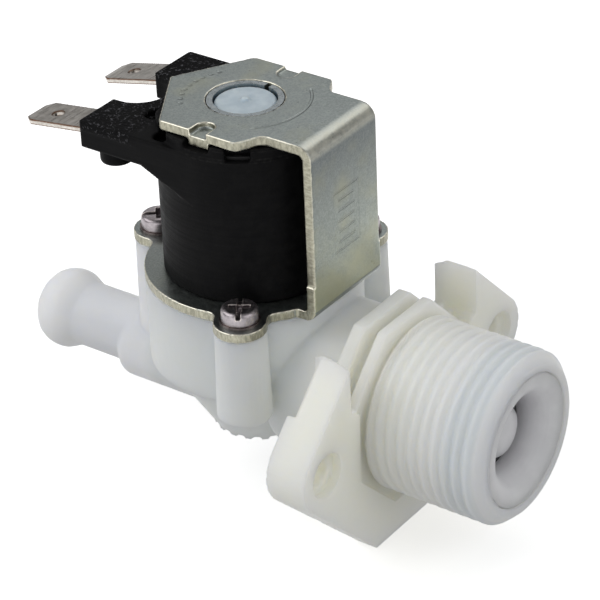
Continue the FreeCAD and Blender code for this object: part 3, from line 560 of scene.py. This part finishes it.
def copper_wire():
    """Enamelled wire laid in turns along the coil."""
    make = Maker("copper_wire")
    wave = make.node("ShaderNodeTexWave", wave_type="BANDS", bands_direction="Z", wave_profile="SIN")
    wave.inputs["Scale"].default_value = 1.6
    wave.inputs["Distortion"].default_value = 0.4
    make.link(make.scaled(1.0), wave.inputs["Vector"])
    turns = wave.outputs["Fac"]
    # Painted shade and highlight: the wire is darker in the grooves between its turns and lighter on their
    # crests.
    make.colour(make.mix(turns, (0.20, 0.06, 0.02), (0.62, 0.27, 0.12)))
    make.rough(make.span(turns, 0.0, 1.0, 0.45, 0.25))
    make.bump([(turns, 0.06)])
    make.set(Metallic=0.9)
    return make.material


def rubber(name, level=0.012):
    dark = (level, level, level * 1.05)
    light = (level * 1.9, level * 1.9, level * 1.9)
    return simple_plastic(name, dark, light, 0.55, 0.75, 1.5, 0.03)


# ---------------------------------------------------------------- pieces
def shallow_thread(piece):
    """The blunted, rounded look of the moulded thread: its grooves are drawn up towards the crests."""
    axis_z = INLET_Z * MM
    shoulder, last = THREAD_SHOULDER * MM, MOUTH_FACE * MM
    crest, mouth, deepest = CREST_R * MM, MOUTH_R * MM, GROOVE_DEEPEST * MM
    for v in piece.data.vertices:
        if not THREAD_FROM * MM < v.co.x < THREAD_END * MM:
            continue
        radius = math.hypot(v.co.y, v.co.z - axis_z)
        slope = max(0.0, (v.co.x - shoulder) / (last - shoulder))
        limit = crest + (mouth - crest) * slope
        if limit - deepest < radius < limit:
            grown = (limit - (limit - radius) * THREAD_SHOW) / radius
            v.co.y *= grown
            v.co.z = axis_z + (v.co.z - axis_z) * grown


def shallow_sinks(piece):
    """The screw recesses in the wings, drawn up so that their soft milky walls stay bright."""
    front, floor, back = WING_FRONT * MM, SINK_FLOOR * MM, WING_BACK * MM
    raised = front - (front - floor) * SINK_SHOW
    for v in piece.data.vertices:
        away = math.hypot(abs(v.co.y) - SINK_Y * MM, v.co.z - INLET_Z * MM)
        if away > SINK_R * MM or not back < v.co.x < front:
            continue
        if v.co.x > floor:
            v.co.x = front - (front - v.co.x) * SINK_SHOW
        else:
            v.co.x = back + (v.co.x - back) * (raised - back) / (floor - back)


def bracket():
    piece = softened("steel_bracket", "bracket", "valve", 0.2, 2)
    paint_corner_near(piece, "steel_bracket", 0.55)
    low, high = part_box("steel_bracket")
    strip_from = high[0] - STRIP_DEPTH * MM
    strip_top = high[2] - SHEET * MM
    bend_from = high[2] - BEND_DROP * MM
    strip, cut, under, bend = [], [], [], []
    for v in piece.data.vertices:
        far_out = v.co.x > strip_from
        on_strip = far_out and STRIP_FOOT * MM < v.co.z < strip_top
        strip.append(1.0 if on_strip else 0.0)
        # Painted light and shade: a ramp from the strip's top down to its foot.
        under.append(clamped(1.0 - v.co.z / (STRIP_FADE * MM)) if on_strip else 0.0)
        beside = far_out and abs(v.co.y) < STRIP_HALF * MM
        across = abs(v.normal.y) if beside else 1.0 - abs(v.normal.z)
        cut.append(clamped((across - 0.45) / 0.35))
        # Painted highlight: points near the bend that face up and out get the bend mark.
        turned = (v.normal.x + v.normal.z) * math.sqrt(0.5)
        bend.append(max(0.0, (turned - 0.72) / 0.28) if far_out and v.co.z > bend_from else 0.0)
    paint(piece, "strip", strip)
    paint(piece, "cut", cut)
    paint(piece, "low", under)
    paint(piece, "bend", bend)
    piece.data.materials.append(plated_steel())


def coil():
    piece = softened("coil_overmould", "coil_moulding", "valve", 0.22, 2)
    paint_corner_near(piece, "coil_overmould", 0.45)
    piece.data.materials.append(coil_plastic())


def tabs():
    rows = (("terminal_left", "tab_left", "tab_metal"), ("terminal_right", "tab_right", "tab_metal_right"))
    for node, name, slot in rows:
        piece = softened(node, name, "valve", 0.1, 1)
        paint_corner_near(piece, node, 0.5)
        metal = worn_metal(slot, TAB_GREY, TAB_PALE, TAB_EDGE, 0.26, 0.42, (2.4, 0.3, 2.4))
        piece.data.materials.append(metal)


def screws():
    piece = softened("cover_screws", "screws", "valve", 0.1, 1)
    paint_corner_near(piece, "cover_screws", 0.3)
    metal = worn_metal("screw_steel", SCREW_DARK, SCREW_LIGHT, SCREW_EDGE, 0.28, 0.42, (2.0, 2.0, 2.0))
    piece.data.materials.append(metal)


def shortening(node, name, material):
    """A copy of one CAD piece with its own mesh and this material, attached to the valve in place of its
    node.
    """
    piece = bpy.data.objects.new(name, welded_copy(node))
    bpy.context.scene.collection.objects.link(piece)
    piece.data.materials.clear()
    piece.data.materials.append(material)
    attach(piece, "valve")
    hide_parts(node)
    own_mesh(piece)


def spring_and_membrane():
    spring = plain_metal("spring_steel", (0.50, 0.50, 0.50), (0.66, 0.66, 0.66), 0.2, 0.3)
    shortening("plunger_spring", "return_spring", spring)
    shortening("diaphragm", "membrane", rubber("membrane_rubber", 0.015))


def carried_over():
    """Finishes for the CAD nodes that keep their own mesh."""
    zinc = ((0.26, 0.29, 0.30), (0.38, 0.41, 0.42))
    bobbin = ((0.006, 0.006, 0.006), (0.012, 0.012, 0.012))
    white = ((0.66, 0.66, 0.62), (0.76, 0.76, 0.73))
    screen = ((0.50, 0.53, 0.53), (0.66, 0.68, 0.68))
    acetal = ((0.70, 0.70, 0.67), (0.80, 0.80, 0.78))
    finishes = {
        "coil_bobbin": simple_plastic("bobbin_plastic", *bobbin, 0.5, 0.62),
        "coil_winding": copper_wire(),
        "winding_tape": simple_plastic("tape", (0.55, 0.34, 0.04), (0.66, 0.43, 0.06), 0.2, 0.35),
        "coil_leads": plain_metal("lead_wire", (0.42, 0.20, 0.10), (0.60, 0.32, 0.18), 0.25, 0.4),
        "flux_sleeve_upper": plain_metal("sleeve_steel", *zinc, 0.25, 0.38),
        "flux_sleeve_lower": plain_metal("sleeve_steel_low", *zinc, 0.25, 0.38),
        "screw_washers": plain_metal("washer_steel", (0.16, 0.13, 0.13), (0.30, 0.26, 0.25), 0.28, 0.42),
        "insert_o_ring": rubber("o_ring_rubber"),
        "flow_washer": rubber("washer_rubber"),
        "strainer_frame": simple_plastic("strainer_plastic", *white, 0.3, 0.45),
        "strainer_mesh": simple_plastic("mesh_plastic", *screen, 0.45, 0.6, 6.0, 0.03),
        "plunger": plain_metal("plunger_steel", (0.42, 0.43, 0.44), (0.58, 0.59, 0.60), 0.18, 0.32),
        "plunger_seal": rubber("seal_rubber"),
        "diaphragm_insert": simple_plastic("piston_plastic", *acetal, 0.3, 0.45),
    }
    for node, material in finishes.items():
        data = NODES[node].data
        data.materials.clear()
        data.materials.append(material)


def build_pieces():
    body = softened("valve_body", "body_moulding", "valve", 0.22, 2, 0.25)
    shallow_thread(body)
    shallow_sinks(body)
    body.data.materials.append(body_plastic())
    bracket()
    coil()
    tabs()
    screws()
    insert = softened("inlet_insert", "regulator_insert", "valve", 0.16, 1, 0.5)
    insert.data.materials.append(insert_plastic())
    guide = softened("guide_tube", "plunger_tube", "valve", 0.2, 2, 0.5)
    guide.data.materials.append(tube_plastic())
    carried_over()
    spring_and_membrane()


# ---------------------------------------------------------------- studio
CAM_AZ, CAM_EL, CAM_ROLL = math.radians(37.09), math.radians(31.20), math.radians(-2.63)
CAM_SENSOR, CAM_LENS = 36.0, 170.04
CAM_DIST, CAM_TX, CAM_TY = 0.420, -0.00605, 0.00656
CAM_SHIFT = (0.0089, 0.0034)


def add_camera():
    right = Vector((math.cos(CAM_AZ), math.sin(CAM_AZ), 0))
    level = math.cos(CAM_EL)
    back = Vector((math.sin(CAM_AZ) * level, -math.cos(CAM_AZ) * level, math.sin(CAM_EL)))
    up = back.cross(right)
    r = right * math.cos(CAM_ROLL) + up * math.sin(CAM_ROLL)
    u = up * math.cos(CAM_ROLL) - right * math.sin(CAM_ROLL)
    data = bpy.data.cameras.new("camera")
    data.sensor_width = CAM_SENSOR
    data.lens = CAM_LENS
    data.shift_x, data.shift_y = CAM_SHIFT
    data.clip_start, data.clip_end = 0.01, 20.0
    cam = bpy.data.objects.new("camera", data)
    spot = back * CAM_DIST - r * CAM_TX - u * CAM_TY
    cam.matrix_world = Matrix(((r.x, u.x, back.x, spot.x), (r.y, u.y, back.y, spot.y),
                               (r.z, u.z, back.z, spot.z), (0, 0, 0, 1)))
    bpy.context.scene.collection.objects.link(cam)
    bpy.context.scene.camera = cam


def add_floor():
    """Plain pale floor with a hint of mottling."""
    size = 3.0
    mesh = bpy.data.meshes.new("floor")
    z = cad_box[0][2] - 0.2 * MM
    corners = [(-size, -size, z), (size, -size, z), (size, size, z), (-size, size, z)]
    mesh.from_pydata(corners, [], [(0, 1, 2, 3)])
    floor = bpy.data.objects.new("floor", mesh)
    bpy.context.scene.collection.objects.link(floor)
    make = Maker("floor_paper")
    make.colour(make.mix(make.noise(make.scaled(0.02), 3.0, 0.5), (0.90, 0.90, 0.90), (0.94, 0.94, 0.94)))
    make.rough(make.span(make.noise(make.scaled(0.3)), 0.3, 0.7, 0.7, 0.9))
    make.set(Specular_IOR_Level=0.1, Emission_Color=(1.0, 1.0, 1.0, 1.0), Emission_Strength=0.50)
    mesh.materials.append(make.material)
    floor.visible_diffuse = False


def add_area(name, azimuth, elevation, distance, width, height, watts):
    """A softbox aimed at the middle of the valve; azimuth is measured like the camera's."""
    aim = Vector((0.0, 0.0, -0.005))
    az, el = math.radians(azimuth), math.radians(elevation)
    way = Vector((math.sin(az) * math.cos(el), -math.cos(az) * math.cos(el), math.sin(el)))
    data = bpy.data.lights.new(name, "AREA")
    data.shape = "RECTANGLE"
    data.size, data.size_y = width, height
    data.energy = watts
    lamp = bpy.data.objects.new(name, data)
    lamp.location = aim + way * distance
    lamp.rotation_euler = way.to_track_quat("Z", "Y").to_euler()
    bpy.context.scene.collection.objects.link(lamp)


def add_light():
    world = bpy.data.worlds.new("studio")
    world.use_nodes = True
    shade = world.node_tree.nodes["Background"]
    shade.inputs["Color"].default_value = (0.985, 0.99, 1.0, 1.0)
    shade.inputs["Strength"].default_value = 0.30
    bpy.context.scene.world = world
    add_area("key", -50, 42, 0.9, 0.8, 0.7, 3.7)
    add_area("fill", 92, 28, 1.0, 0.7, 0.8, 2.3)
    add_area("back", 190, 50, 1.0, 1.0, 0.5, 2.3)
    add_area("front", 5, 8, 1.1, 1.3, 0.6, 3.0)
    bpy.context.scene.view_settings.view_transform = "Standard"


build_pieces()
add_floor()
add_light()
add_camera()
